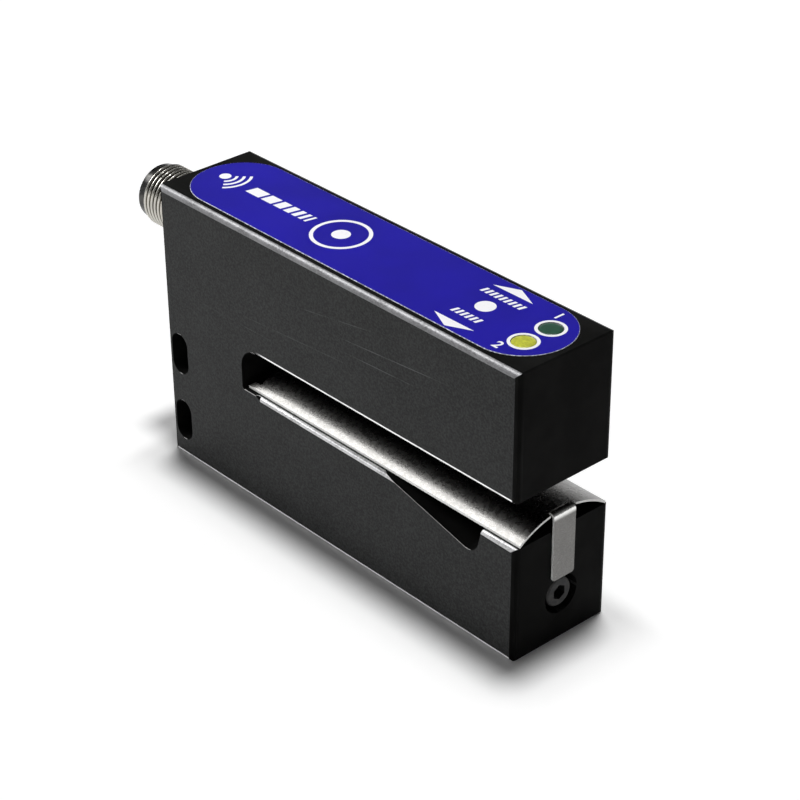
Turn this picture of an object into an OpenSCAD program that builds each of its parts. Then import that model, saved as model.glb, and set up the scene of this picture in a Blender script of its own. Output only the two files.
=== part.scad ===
// Fork-shaped ultrasonic label sensor with a round screw connector, in millimetres.
// The origin is at the middle of the underside, +X points to the mouth of the fork and +Z is up.

/* [Body] */
// Length of the fork body
body_l = 92; // [88:1:110]
// Width across the body
body_w = 21.6; // [21:0.2:28]
// Height of the upper arm
upper_arm_h = 24; // [23:0.5:35]
// Rounding of the four upright edges
upright_r = 1.2; // [0.4:0.1:1.8]
// Rounding of the two long edges on top
top_edge_r = 1.1; // [0.4:0.1:1.4]
// Chamfer that breaks the other outer edges
edge_break = 0.25; // [0.1:0.05:0.5]

/* [Slot] */
// Length of the solid block behind the slot
rear_block = 22.1; // [20:0.5:28]
// Height of the lower arm
lower_arm_h = 22.35; // [21:0.05:24]
// Height of the slot between the arms
slot_gap = 8.65; // [8:0.05:9.4]
// Radius at the upper corner of the slot's inner end
root_upper_r = 4; // [1:0.5:5]
// Radius at the lower corner of the slot's inner end
root_lower_r = 0.6; // [0.4:0.1:1.4]
// Rounding of the lower arm's two long upper edges
arm_edge_r = 0.85; // [0.4:0.05:1.2]
// Distance from the slot's inner end to the tool's axis where that rounding starts
arm_edge_start = 4.9; // [4:0.1:9]
// Radius of the rounding tool's tip
edge_tool_r = 1; // [0.5:0.1:1.5]

/* [Sensing] */
// Distance from the front face to the sensing point
sense_inset = 19.35; // [18:0.5:22]
// Lean of the sound beam away from upright
beam_tilt = 14; // [10:1:15]
// Distance from the sensing point down the beam to the sloping floor
relief_drop = 6.55; // [6:0.05:7.4]
// Distance from the beam to the steep end of the sloping floor
relief_reach = 11.85; // [10:0.05:13]
// Radius between the sloping floor and its steep end
relief_r = 2.6; // [1:0.2:3]
// Diameter of a transducer can
can_d = 10; // [8:0.5:10]
// Length of a transducer can
can_l = 7; // [5:0.5:7.5]
// Thickness of the rubber sleeve round a can
sleeve_t = 1; // [0.6:0.1:1.1]
// Least thickness of the lip that holds the receiver
receiver_lip = 0.6; // [0.4:0.1:1]
// Width of the ring that a can and its sleeve seat on
seat_lip = 1.5; // [1:0.1:2]
// Length of a transducer's solder leads
lead_l = 1.9; // [1:0.1:2.5]

/* [Guide plate] */
// Thickness of the steel sheet
plate_t = 0.4; // [0.3:0.05:0.6]
// Distance from the sheet's long edges to the arm's rounded edges
plate_margin = 0.1; // [0.1:0.05:1]
// Gap under the sheet's long edges
plate_seat_gap = 0.03; // [0.02:0.01:0.1]
// Height of the arch above the lower arm
plate_rise = 3.55; // [2.8:0.05:3.8]
// Gap between the slot's inner end and the middle of the sheet
plate_rear_gap = 2.9; // [1:0.1:5]
// Width of the two tongues at the rear of the sheet
tongue_w = 1; // [0.6:0.1:2]
// Slant of the tongues' ends
tongue_slant = 0.8; // [0.2:0.1:1.2]
// Diameter of the hole that lets the sound through
beam_hole_d = 7; // [5:0.5:8]
// Width of the tab over the front face
tab_w = 5; // [4:0.5:8]
// Height of the tab's lower end above the underside
tab_end_z = 12.5; // [12.5:0.1:16]
// Inside radius of the tab's bend
tab_bend_r = 0.5; // [0.3:0.1:1]
// Radius of the tab's lower corners
tab_corner_r = 0.6; // [0.2:0.1:1.5]
// Width of the slit on each side of the tab
slit_w = 0.45; // [0.3:0.05:1]
// Depth of that slit
slit_l = 0.8; // [0.5:0.1:2]

/* [Mounting slots] */
// Width of a mounting slot
hole_w = 4.5; // [3.4:0.1:4.6]
// End-to-end length of a mounting slot
hole_l = 8.3; // [5:0.1:9]
// Distance between the two slots' centres
hole_pitch = 14.2; // [11:0.1:16]
// Height of the lower slot's centre
hole_z = 7.5; // [6:0.1:8]
// Distance from the rear face to the slots' centres
hole_inset = 3.6; // [3.5:0.1:6]

/* [Wire channel] */
// Height of the channel along the lower arm
channel_z = 8.9; // [8:0.1:10]
// Diameter of the channel
channel_d = 2.5; // [2.5:0.1:3]
// Diameter of the shaft that joins the channel to the upper chamber
shaft_d = 4; // [3.5:0.1:6]
// Distance from the slot's inner end to the shaft's centre
shaft_inset = 7.1; // [5:0.1:8]
// Diameter of an insulated wire
wire_d = 1; // [0.8:0.05:1]
// Distance between the two wires' centres
wire_pitch = 1.3; // [1.25:0.05:1.35]
// Bend radius of a wire
wire_bend_r = 1.6; // [1.2:0.1:1.8]
// Diameter of the screw that closes the channel
screw_d = 3; // [2.8:0.1:3.4]
// Length of the screw under its head
screw_l = 8; // [6:1:10]
// Diameter of the screw's head
screw_head_d = 5.5; // [5:0.1:6]
// Height of the screw's head
screw_head_h = 3; // [2:0.1:4]
// Chamfer round the top of the screw's head
screw_head_break = 0.3; // [0.1:0.05:0.6]
// Width across the flats of the screw's socket
screw_key = 2.5; // [2:0.1:3]
// Depth of the screw's socket
screw_key_depth = 1.5; // [1:0.1:1.8]
// Diameter of the counterbore
counterbore_d = 7.4; // [6.5:0.1:7.4]
// Distance from the front face to the top of the head
head_recess = 0.4; // [0:0.1:1]

/* [Label] */
// Margin between the label and each end of the body
label_end_margin = 1.2; // [1:0.1:2]
// Margin between the label and each side of the body
label_side_margin = 1.6; // [1.5:0.05:2]
// Thickness of the label foil
label_t = 0.35; // [0.2:0.05:0.5]
// Depth of the recess that the foil lies in
label_recess = 0.25; // [0.1:0.05:0.4]
// Distance from the rear face to the centre of the teach key
key_inset = 37.4; // [34:0.2:40]
// Diameter of the snap dome under the teach key
dome_d = 8; // [6:0.5:9]
// Height of the snap dome
dome_h = 0.42; // [0.3:0.02:0.5]
// Thickness of the dome's metal
dome_t = 0.12; // [0.08:0.02:0.2]
// Distance from the front face to the lenses' centres
lens_inset = 7; // [6.6:0.1:9]
// Distance between the two lenses' centres
lens_pitch = 6.1; // [5.6:0.1:7]
// Diameter of a lens where it shows
lens_d = 4.2; // [3:0.1:4.4]
// Width of the flange that holds a lens under the foil
lens_flange = 0.35; // [0.2:0.05:0.5]

/* [Chambers] */
// Width of the border that the label is stuck to
foil_border = 0.9; // [0.7:0.05:1.2]
// Width of the ledge under the top board
top_ledge = 1.2; // [0.8:0.1:1.4]
// Width of the ledge under the main board
main_ledge = 0.9; // [0.6:0.1:1]
// Thickness of the wall behind the chambers
rear_wall = 6.5; // [6:0.1:8]
// Thickness of the wall in front of the chambers
front_wall = 5.2; // [5:0.1:8]
// Thickness of the floor over the slot
roof_t = 4; // [3:0.2:4.6]
// Corner radius of the chambers
chamber_r = 3; // [2:0.5:4]

/* [Boards] */
// Thickness of the spacer under the foil
spacer_t = 0.6; // [0.5:0.05:0.8]
// Thickness of the top board
top_board_t = 1.6; // [1:0.1:2]
// Thickness of the main board
main_board_t = 1.2; // [0.8:0.1:1.6]
// Distance from the chamber's rear wall to the main board
main_board_setback = 5.6; // [5:0.1:6.4]
// Thickness of the connector board
connector_board_t = 1.2; // [0.8:0.1:1.6]
// Distance from the chamber's rear wall to the connector board
connector_board_gap = 3; // [2:0.1:3.4]
// Gap between the connector board and the top board
connector_board_drop = 1; // [0.5:0.1:2]
// Number of pins in the header between the boards
header_pins = 6; // [4:1:8]
// Spacing of those pins
header_pitch = 2; // [1.27:0.01:2.1]
// Width of a header pin
header_pin_w = 0.5; // [0.4:0.05:0.7]
// Width of the processor
processor_w = 7; // [5:0.5:9]
// Width of the amplifier
amplifier_w = 4; // [3:0.5:6]
// Length of the amplifier
amplifier_l = 5; // [4:0.5:9]
// Height of the processor on its board
processor_h = 1.2; // [0.8:0.1:1.6]
// Height of the amplifier on its board
amplifier_h = 1.4; // [0.8:0.1:2]
// Leads along one side of the processor
processor_leads = 8; // [4:1:10]
// Leads along one side of the amplifier
amplifier_leads = 4; // [2:1:5]
// Width of a chip's lead
chip_lead_w = 0.4; // [0.3:0.05:0.5]
// Reach of a lead beyond the chip
chip_lead_reach = 0.8; // [0.4:0.1:1]
// Height of a lead
chip_lead_h = 0.3; // [0.2:0.05:0.5]
// Gap under a chip
chip_standoff = 0.1; // [0.05:0.05:0.2]
// Length of the pins behind the connector board
link_pin_l = 4; // [3:0.5:5]
// Diameter of the drive coil
coil_d = 7; // [5:0.5:9]
// Distance from the drive coil to the processor above it
coil_clearance = 3.2; // [1:0.1:5]
// Width of a flange of the coil's core, past its winding
coil_flange_w = 1; // [0.5:0.1:1.5]
// Thickness of a flange
coil_flange_t = 0.8; // [0.4:0.1:1]
// Diameter of the hole through the coil
coil_hole_d = 2; // [1:0.1:2.4]

/* [Connector] */
// Distance from the top down to the connector's axis
connector_drop = 9.8; // [9:0.1:10.2]
// Length of the connector outside the body
shell_reach = 14.1; // [13:0.1:16]
// Diameter over the thread
thread_d = 11.85; // [11.5:0.05:12]
// Length of the thread
thread_l = 9; // [7:0.5:9.5]
// Diameter of the plain rim
rim_d = 10.75; // [10:0.05:10.8]
// Length of the plain rim
rim_l = 1.6; // [1:0.1:2.5]
// Chamfer at the rim's outer edge and at the socket's mouth
rim_break = 0.25; // [0.1:0.05:0.4]
// Diameter of the shoulder against the body
shoulder_d = 14; // [13.2:0.2:15]
// Thickness of the shoulder
shoulder_t = 1.5; // [1:0.1:2]
// Chamfer round the shoulder
shoulder_break = 0.3; // [0.1:0.05:0.6]
// Diameter of the neck between shoulder and thread
neck_d = 10.4; // [10:0.1:10.8]
// Diameter of the stem inside the body
stem_d = 10; // [9:0.1:10.4]
// Diameter of the socket
socket_d = 8.6; // [8:0.1:8.8]
// Depth of the socket
socket_depth = 9.5; // [8:0.1:10]
// Length of the insert's head
insert_head_l = 3.6; // [3:0.1:4]
// Diameter of the insert's tail
insert_tail_d = 6.9; // [6.7:0.1:7.2]
// Number of contact pins
contact_count = 4; // [3:1:5]
// Diameter of a contact pin
contact_d = 1; // [0.8:0.05:1.1]
// Diameter of the circle that the pins stand on
contact_circle_d = 5; // [4.6:0.1:5.4]
// Distance from the connector's end to the pin tips
contact_recess = 2; // [1:0.1:3]
// Diameter of the seal's section
seal_section_d = 0.9; // [0.7:0.05:1]

/* [Hidden] */
$fn = 64;

// Clearance round what is pressed or screwed in
fit_gap = 0.05;
// Clearance round the boards
board_gap = 0.1;
// Overlap of a cutting tool past the face that it cuts
cut = 1;

rear_x = -body_l / 2;
front_x = body_l / 2;
side_y = body_w / 2;
root_x = rear_x + rear_block;
slot_roof = lower_arm_h + slot_gap;
body_h = slot_roof + upper_arm_h;
connector_z = body_h - connector_drop;
chamfer_side = edge_break / cos(45);

// The sensing point, on the crown of the guide plate
sense_x = front_x - sense_inset;
sense_z = lower_arm_h + plate_rise;
// The receiver's face clears the slot's roof by its lip, leaning as it does
bore_r = can_d / 2 + sleeve_t;
receiver_face = (slot_gap - plate_rise + receiver_lip) / cos(beam_tilt) + bore_r * tan(beam_tilt);
lead_r = 0.3;
lead_gap = 0.2;

// Heights in the upper arm, from the slot up
chamber_floor = slot_roof + roof_t;
lead_top = (receiver_face + can_l + lead_l) * cos(beam_tilt) + lead_r * sin(beam_tilt);
main_board_z = sense_z + lead_top + lead_gap;
label_floor = body_h - label_recess;
spacer_z = label_floor - spacer_t;
top_board_z = spacer_z - top_board_t;
coil_z = main_board_z + main_board_t;
coil_h = top_board_z - processor_h - coil_clearance - coil_z;

// Outlines in the top, each inside the one before
label_l = body_l - 2 * label_end_margin;
label_w = body_w - 2 * label_side_margin;
seat_l = label_l - 2 * foil_border;
seat_w = label_w - 2 * foil_border;
middle_w = seat_w - 2 * top_ledge;
lower_w = middle_w - 2 * main_ledge;
chamber_rear = rear_x + rear_wall;
chamber_front = front_x - front_wall;

key_x = rear_x + key_inset;
lens_x = front_x - lens_inset;
lens_flange_d = lens_d + 2 * lens_flange;
led_size = [1.6, 0.8, 0.4];

// The arch is a circular arc through its two feet and its crown
plate_half_w = side_y - arm_edge_r - plate_margin;
plate_inner_rise = plate_rise - plate_t - plate_seat_gap;
plate_ri = (pow(plate_half_w, 2) + pow(plate_inner_rise, 2)) / (2 * plate_inner_rise);
plate_ro = plate_ri + plate_t;
plate_axis_z = sense_z - plate_ro;
tongue_rear = root_x + root_lower_r + fit_gap;
plate_rear = root_x + plate_rear_gap;
tab_top_z = plate_axis_z + plate_ro * cos(asin((tab_w + slit_w) / 2 / plate_ro));

counterbore_depth = screw_head_h + head_recess;
shaft_x = root_x - shaft_inset;
channel_corner = (sense_z - channel_z) / cos(beam_tilt);
transmitter_back = relief_drop + can_l;
wire_start = transmitter_back + lead_l;
wire_corner_x = sense_x - channel_corner * sin(beam_tilt);
wire_bend_run = wire_bend_r * tan((90 - beam_tilt) / 2);
sleeve_lap = 0.3;

thread_start = shell_reach - rim_l - thread_l;
socket_floor = shell_reach - socket_depth;
insert_seat = socket_floor - insert_head_l;
seal_mean_d = stem_d + 2 * fit_gap + seal_section_d + 0.1;
seal_groove = seal_section_d + 0.04;
seal_groove_d = seal_mean_d + seal_section_d + 0.1;
main_board_rear = chamber_rear + main_board_setback;
connector_board_x = chamber_rear + connector_board_gap;

// Flat shapes and placing

module rounded_plan(x0, x1, w, r) {
    translate([x0 + r, -w / 2]) square([x1 - x0 - 2 * r, w]);
    translate([x0, -w / 2 + r]) square([x1 - x0, w - 2 * r]);
    for (x = [x0 + r, x1 - r], y = [-w / 2 + r, w / 2 - r]) translate([x, y]) circle(r);
}

module stadium(l, w) {
    square([l - w, w], center = true);
    for (x = [-1, 1]) translate([x * (l - w) / 2, 0]) circle(d = w);
}

module slab(z, t) {
    translate([0, 0, z]) linear_extrude(t) children();
}

// Puts its children on the sound beam, with their Z along the beam and zero at the sensing point
module on_beam(distance = 0) {
    translate([sense_x, 0, sense_z]) rotate([0, beam_tilt, 0]) translate([0, 0, distance]) children();
}

// Puts its children on the connector's axis, with their Z pointing out of the rear face
module on_connector(distance = 0) {
    translate([rear_x, 0, connector_z]) rotate([0, -90, 0]) translate([0, 0, distance]) children();
}

// A cylinder standing on z = 0 whose upper edge is broken by a chamfer
module broken_cylinder(d, h, edge) {
    cylinder(d = d, h = h - edge);
    translate([0, 0, h - edge]) cylinder(d1 = d, d2 = d - 2 * edge, h = edge);
}

module along_x(x, z) {
    translate([x, 0, z]) rotate([0, 90, 0]) children();
}

// Body

// What a rounding of radius r takes off the upper edge at height z on the +Y side
module edge_round_cutter(x0, x1, z, r) {
    translate([x0, side_y - r, z - r]) difference() {
        cube([x1 - x0, r + cut, r + cut]);
        translate([-cut, 0, 0]) rotate([0, 90, 0]) cylinder(r = r, h = x1 - x0 + 2 * cut);
    }
}

// The hollow that the rounding tool leaves where it first meets that edge
module edge_runout_cutter(x, z, r) {
    translate([x, side_y + edge_tool_r, z - r]) rotate_extrude() difference() {
        square([edge_tool_r + r, r + cut]);
        translate([edge_tool_r + r, 0]) circle(r);
    }
}

// What a chamfer takes off a long edge on the +Y side at height z
module edge_chamfer_cutter(x0, x1, z) {
    translate([x0, side_y, z]) rotate([45, 0, 0])
        translate([0, -chamfer_side / 2, -chamfer_side / 2])
            cube([x1 - x0, chamfer_side, chamfer_side]);
}

// What a chamfer takes off an edge across the body at x and z
module cross_chamfer_cutter(x, z) {
    translate([x, -side_y - cut, z]) rotate([0, 45, 0])
        translate([-chamfer_side / 2, 0, -chamfer_side / 2])
            cube([chamfer_side, body_w + 2 * cut, chamfer_side]);
}

module both_sides() {
    children();
    mirror([0, 1, 0]) children();
}

// The gap between the arms, open at the front, with its two radii at the inner end
module slot_cutter() {
    far = front_x + cut;
    translate([0, side_y + cut, 0]) rotate([90, 0, 0]) linear_extrude(body_w + 2 * cut) {
        translate([root_x + root_upper_r, lower_arm_h]) square([far - root_x - root_upper_r, slot_gap]);
        translate([root_x, lower_arm_h + root_lower_r])
            square([far - root_x, slot_gap - root_upper_r - root_lower_r]);
        translate([root_x + root_lower_r, lower_arm_h])
            square([root_upper_r, slot_gap - root_upper_r]);
        translate([root_x + root_upper_r, slot_roof - root_upper_r]) circle(root_upper_r);
        translate([root_x + root_lower_r, lower_arm_h + root_lower_r]) circle(root_lower_r);
    }
}

// The wedge under the guide plate: a floor square to the beam and a steep end along it
module relief_cutter() {
    intersection() {
        on_beam() translate([0, side_y + cut, 0]) rotate([90, 0, 0]) linear_extrude(body_w + 2 * cut) {
            translate([-body_l, relief_r - relief_drop]) square([body_l + relief_reach, body_h]);
            translate([-body_l, -relief_drop]) square([body_l + relief_reach - relief_r, body_h]);
            translate([relief_reach - relief_r, relief_r - relief_drop]) circle(relief_r);
        }
        translate([root_x, -side_y - cut, 0])
            cube([front_x - root_x, body_w + 2 * cut, lower_arm_h + slot_gap / 2]);
    }
}

module mounting_slot(z) {
    straight = hole_l - hole_w;
    translate([rear_x + hole_inset, 0, z]) {
        cube([hole_w, body_w + 2 * cut, straight], center = true);
        for (side = [-1, 1]) translate([0, side_y + cut, side * straight / 2]) rotate([90, 0, 0])
            cylinder(d = hole_w, h = body_w + 2 * cut);
    }
}

// The bores for the two transducers, on one leaning axis
module beam_bores() {
    on_beam(-transmitter_back) cylinder(r = bore_r + fit_gap, h = can_l + cut);
    on_beam(-channel_corner) cylinder(r = bore_r - seat_lip, h = channel_corner - relief_drop);
    on_beam(receiver_face) cylinder(r = bore_r + fit_gap, h = can_l);
    on_beam(1) cylinder(r = bore_r - seat_lip, h = receiver_face);
}

module wire_bores() {
    mouth = front_x - counterbore_depth;
    along_x(mouth, channel_z) cylinder(d = counterbore_d, h = counterbore_depth + cut);
    along_x(mouth - screw_l - cut, channel_z) cylinder(d = screw_d + 2 * fit_gap, h = screw_l + 2 * cut);
    along_x(shaft_x, channel_z) cylinder(d = channel_d, h = mouth - shaft_x);
    translate([shaft_x, 0, channel_z]) cylinder(d = shaft_d, h = chamber_floor - channel_z + cut);
}

module top_pockets() {
    slab(label_floor, label_recess + cut) stadium(label_l, label_w);
    slab(top_board_z, body_h - top_board_z) stadium(seat_l, seat_w);
    slab(main_board_z, body_h - main_board_z)
        rounded_plan(chamber_rear, chamber_front, middle_w, chamber_r);
    slab(chamber_floor, body_h - chamber_floor)
        rounded_plan(chamber_rear + main_ledge, chamber_front - main_ledge, lower_w, chamber_r - main_ledge);
}

module connector_bores() {
    on_connector(-rear_wall - cut) cylinder(d = stem_d + 2 * fit_gap, h = rear_wall + 2 * cut);
    on_connector(-seal_groove) cylinder(d = seal_groove_d, h = seal_groove + cut);
}

module fork_body() {
    color([0.11, 0.11, 0.12]) difference() {
        slab(0, body_h) rounded_plan(rear_x, front_x, body_w, upright_r);
        both_sides() {
            edge_round_cutter(rear_x - cut, front_x + cut, body_h, top_edge_r);
            edge_round_cutter(root_x + arm_edge_start, front_x + cut, lower_arm_h, arm_edge_r);
            edge_runout_cutter(root_x + arm_edge_start, lower_arm_h, arm_edge_r);
            edge_chamfer_cutter(rear_x - cut, front_x + cut, 0);
            edge_chamfer_cutter(root_x + root_upper_r, front_x + cut, slot_roof);
        }
        for (x = [rear_x, front_x], z = [0, body_h]) cross_chamfer_cutter(x, z);
        cross_chamfer_cutter(front_x, slot_roof);
        slot_cutter();
        relief_cutter();
        for (z = [hole_z, hole_z + hole_pitch]) mounting_slot(z);
        beam_bores();
        wire_bores();
        top_pockets();
        connector_bores();
    }
}

// Guide plate and screw

// The sheet's outline seen from above, with the two slanted tongues at the rear
module plate_outline() {
    inner_y = plate_half_w - tongue_w;
    polygon([[tongue_rear, plate_half_w], [tongue_rear + tongue_slant, inner_y], [plate_rear, inner_y],
        [plate_rear, -inner_y], [tongue_rear + tongue_slant, -inner_y], [tongue_rear, -plate_half_w],
        [front_x, -plate_half_w], [front_x, plate_half_w]]);
}

module guide_plate() {
    bend_axis_x = front_x - tab_bend_r;
    bend_axis_z = tab_top_z - plate_t - tab_bend_r;
    slit_reach = tab_w / 2 + slit_w;
    color([0.72, 0.72, 0.7]) {
        difference() {
            intersection() {
                along_x(tongue_rear - cut, plate_axis_z) difference() {
                    cylinder(r = plate_ro, h = body_l, $fn = 128);
                    translate([0, 0, -cut]) cylinder(r = plate_ri, h = body_l + 2 * cut, $fn = 128);
                }
                slab(lower_arm_h, plate_rise + cut) plate_outline();
            }
            // The front of the crown, cut away for the slits and the tab's bend
            translate([front_x - slit_l, -slit_reach, lower_arm_h])
                cube([slit_l + cut, 2 * slit_reach, plate_rise + cut]);
            translate([sense_x, 0, lower_arm_h]) cylinder(d = beam_hole_d, h = plate_rise + cut);
        }
        // Tab: a flat strip, a quarter bend and the strip down the front face
        translate([front_x - slit_l - plate_t, -tab_w / 2, tab_top_z - plate_t])
            cube([slit_l + plate_t - tab_bend_r, tab_w, plate_t]);
        translate([bend_axis_x, tab_w / 2, bend_axis_z]) rotate([90, 0, 0])
            rotate_extrude(angle = 90) translate([tab_bend_r, 0]) square([plate_t, tab_w]);
        tab_strip(bend_axis_z);
    }
}

module tab_strip(top_z) {
    translate([front_x, 0, 0]) rotate([90, 0, 90]) linear_extrude(plate_t) {
        translate([-tab_w / 2, tab_end_z + tab_corner_r]) square([tab_w, top_z - tab_end_z - tab_corner_r]);
        translate([-tab_w / 2 + tab_corner_r, tab_end_z])
            square([tab_w - 2 * tab_corner_r, tab_corner_r * 2]);
        for (side = [-1, 1]) translate([side * (tab_w / 2 - tab_corner_r), tab_end_z + tab_corner_r])
            circle(tab_corner_r);
    }
}

module channel_screw() {
    color([0.16, 0.16, 0.17]) along_x(front_x - head_recess, channel_z) difference() {
        union() {
            translate([0, 0, -screw_head_h]) broken_cylinder(screw_head_d, screw_head_h, screw_head_break);
            translate([0, 0, -screw_head_h - screw_l]) cylinder(d = screw_d, h = screw_l + cut);
        }
        translate([0, 0, -screw_key_depth])
            cylinder(d = screw_key / cos(30), h = screw_key_depth + cut, $fn = 6);
    }
}

// Label, lenses and teach key

module lens_places() {
    for (side = [-1, 1]) translate([lens_x, side * lens_pitch / 2, 0]) children();
}

module label_foil() {
    color([0.16, 0.14, 0.62]) difference() {
        slab(label_floor, label_t) stadium(label_l - 2 * fit_gap, label_w - 2 * fit_gap);
        lens_places() translate([0, 0, label_floor - cut])
            cylinder(d = lens_d + 2 * fit_gap, h = label_t + 2 * cut);
    }
}

module lens(side) {
    chip_room = led_size + [0.4, 0.4, 0.1];
    translate([lens_x, side * lens_pitch / 2, spacer_z]) difference() {
        union() {
            cylinder(d = lens_d, h = spacer_t + label_t);
            cylinder(d = lens_flange_d, h = spacer_t - fit_gap);
        }
        translate([-chip_room.x / 2, -chip_room.y / 2, -cut])
            cube([chip_room.x, chip_room.y, chip_room.z + cut]);
    }
}

module green_lens() {
    color([0.1, 0.33, 0.24]) lens(1);
}

module yellow_lens() {
    color([0.72, 0.73, 0.22]) lens(-1);
}

module key_spacer() {
    color([0.9, 0.9, 0.88]) difference() {
        slab(spacer_z, spacer_t) stadium(seat_l - 2 * board_gap, seat_w - 2 * board_gap);
        translate([key_x, 0, spacer_z - cut]) cylinder(d = dome_d + 2 * board_gap, h = spacer_t + 2 * cut);
        lens_places() translate([0, 0, spacer_z - cut])
            cylinder(d = lens_flange_d + 2 * fit_gap, h = spacer_t + 2 * cut);
    }
}

module key_dome() {
    dome_r = (pow(dome_d / 2, 2) + pow(dome_h, 2)) / (2 * dome_h);
    color([0.8, 0.8, 0.8]) translate([key_x, 0, spacer_z]) rotate_extrude() intersection() {
        translate([0, dome_h - dome_r]) difference() {
            circle(dome_r, $fn = 720);
            circle(dome_r - dome_t, $fn = 720);
        }
        square([dome_d, dome_d]);
    }
}

module led(side) {
    translate([lens_x - led_size.x / 2, side * lens_pitch / 2 - led_size.y / 2, spacer_z]) cube(led_size);
}

module green_led() {
    color([0.75, 0.9, 0.8]) led(1);
}

module yellow_led() {
    color([0.95, 0.9, 0.6]) led(-1);
}

// Boards and what they carry

module top_board() {
    color([0.1, 0.35, 0.2]) slab(top_board_z, top_board_t)
        stadium(seat_l - 2 * board_gap, seat_w - 2 * board_gap);
}

module main_board() {
    color([0.1, 0.35, 0.2]) slab(main_board_z, main_board_t)
        rounded_plan(main_board_rear, chamber_front - board_gap, middle_w - 2 * board_gap,
            chamber_r - board_gap);
}

// A chip lying on a board at z = 0, with leads along two sides
module chip(l, w, h, leads) {
    pitch = l / leads;
    translate([-l / 2, -w / 2, chip_standoff]) cube([l, w, h - chip_standoff]);
    for (i = [0 : leads - 1], side = [0, 180]) rotate([0, 0, side])
        translate([(i + 0.5) * pitch - l / 2 - chip_lead_w / 2, w / 2 - chip_lead_w / 2, 0])
            cube([chip_lead_w, chip_lead_reach + chip_lead_w / 2, chip_lead_h]);
}

module processor() {
    color([0.12, 0.12, 0.13]) translate([key_x, 0, top_board_z]) mirror([0, 0, 1])
        chip(processor_w, processor_w, processor_h, processor_leads);
}

module amplifier() {
    color([0.12, 0.12, 0.13]) translate([sense_x - can_d, 0, main_board_z + main_board_t])
        chip(amplifier_l, amplifier_w, amplifier_h, amplifier_leads);
}

module drive_coil() {
    hole_r = coil_hole_d / 2;
    color([0.25, 0.22, 0.2]) translate([key_x, 0, coil_z]) rotate_extrude() translate([hole_r, 0]) {
        square([coil_d / 2 - hole_r, coil_flange_t]);
        square([coil_d / 2 - hole_r - coil_flange_w, coil_h]);
        translate([0, coil_h - coil_flange_t]) square([coil_d / 2 - hole_r, coil_flange_t]);
    }
}

module board_header() {
    length = header_pins * header_pitch;
    base_h = 2.5;
    base_w = 2.2;
    base_z = main_board_z + main_board_t;
    place_x = sense_x + can_d / 2;
    row_start = (header_pitch - length - header_pin_w) / 2;
    color([0.15, 0.15, 0.15]) {
        translate([place_x - base_w / 2, -length / 2, base_z]) cube([base_w, length, base_h]);
        for (i = [0 : header_pins - 1])
            translate([place_x - header_pin_w / 2, row_start + i * header_pitch, base_z + base_h / 2])
                cube([header_pin_w, header_pin_w, top_board_z - base_z - base_h / 2]);
    }
}

// Transducers and their wires

module transducer() {
    step = 0.6;
    cylinder(d = can_d - 2 * step, h = can_l);
    translate([0, 0, step]) cylinder(d = can_d, h = can_l - step);
    for (side = [-1, 1]) translate([0, side * wire_pitch / 2, can_l - cut])
        cylinder(r = lead_r, h = lead_l + cut);
}

module sleeve() {
    difference() {
        cylinder(r = bore_r, h = can_l);
        translate([0, 0, -cut]) cylinder(d = can_d + 2 * fit_gap, h = can_l + 2 * cut);
    }
}

module receiver() {
    color([0.7, 0.7, 0.68]) on_beam(receiver_face) transducer();
}

module receiver_sleeve() {
    color([0.2, 0.2, 0.2]) on_beam(receiver_face) sleeve();
}

module transmitter() {
    color([0.7, 0.7, 0.68]) on_beam(-relief_drop) mirror([0, 0, 1]) transducer();
}

module transmitter_sleeve() {
    color([0.2, 0.2, 0.2]) on_beam(-transmitter_back) sleeve();
}

// One wire's two bends and its way up the shaft, with a shrink sleeve at the transmitter's lead
module wire() {
    channel_end = wire_corner_x - wire_bend_run;
    shaft_bottom = channel_z + wire_bend_r;
    sleeve_run = channel_corner - wire_bend_run - wire_start + sleeve_lap;
    on_beam(-wire_start - sleeve_run) cylinder(d = wire_d + 0.2, h = sleeve_run);
    translate([channel_end, 0, shaft_bottom]) rotate([90, 0, 0]) rotate([0, 0, 270])
        rotate_extrude(angle = 90 - beam_tilt) translate([wire_bend_r, 0]) circle(d = wire_d);
    translate([shaft_x + wire_bend_r, 0, shaft_bottom]) rotate([90, 0, 0]) rotate([0, 0, 180])
        rotate_extrude(angle = 90) translate([wire_bend_r, 0]) circle(d = wire_d);
    translate([shaft_x, 0, shaft_bottom]) cylinder(d = wire_d, h = main_board_z - shaft_bottom);
}

module transmitter_cable() {
    jacket_start = shaft_x + wire_bend_r - sleeve_lap;
    jacket_end = wire_corner_x - wire_bend_run + sleeve_lap;
    color([0.2, 0.2, 0.22]) {
        along_x(jacket_start, channel_z) cylinder(d = channel_d - 2 * fit_gap, h = jacket_end - jacket_start);
        for (side = [-1, 1]) translate([0, side * wire_pitch / 2, 0]) wire();
    }
}

// Connector

module connector_shell() {
    lead_in = 0.6;
    color([0.75, 0.74, 0.7]) on_connector() difference() {
        union() {
            translate([0, 0, -rear_wall]) cylinder(d = stem_d, h = rear_wall + cut);
            broken_cylinder(shoulder_d, shoulder_t, shoulder_break);
            cylinder(d = neck_d, h = shell_reach - rim_l);
            translate([0, 0, thread_start]) cylinder(d = thread_d, h = thread_l - lead_in);
            translate([0, 0, thread_start + thread_l - lead_in])
                cylinder(d1 = thread_d, d2 = rim_d, h = lead_in);
            broken_cylinder(rim_d, shell_reach, rim_break);
        }
        translate([0, 0, insert_seat]) cylinder(d = socket_d, h = shell_reach);
        translate([0, 0, shell_reach - rim_break])
            cylinder(d1 = socket_d, d2 = socket_d + 2 * (rim_break + cut), h = rim_break + cut);
        translate([0, 0, -rear_wall - cut])
            cylinder(d = insert_tail_d + 2 * fit_gap, h = rear_wall + 2 * cut + insert_seat);
    }
}

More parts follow.
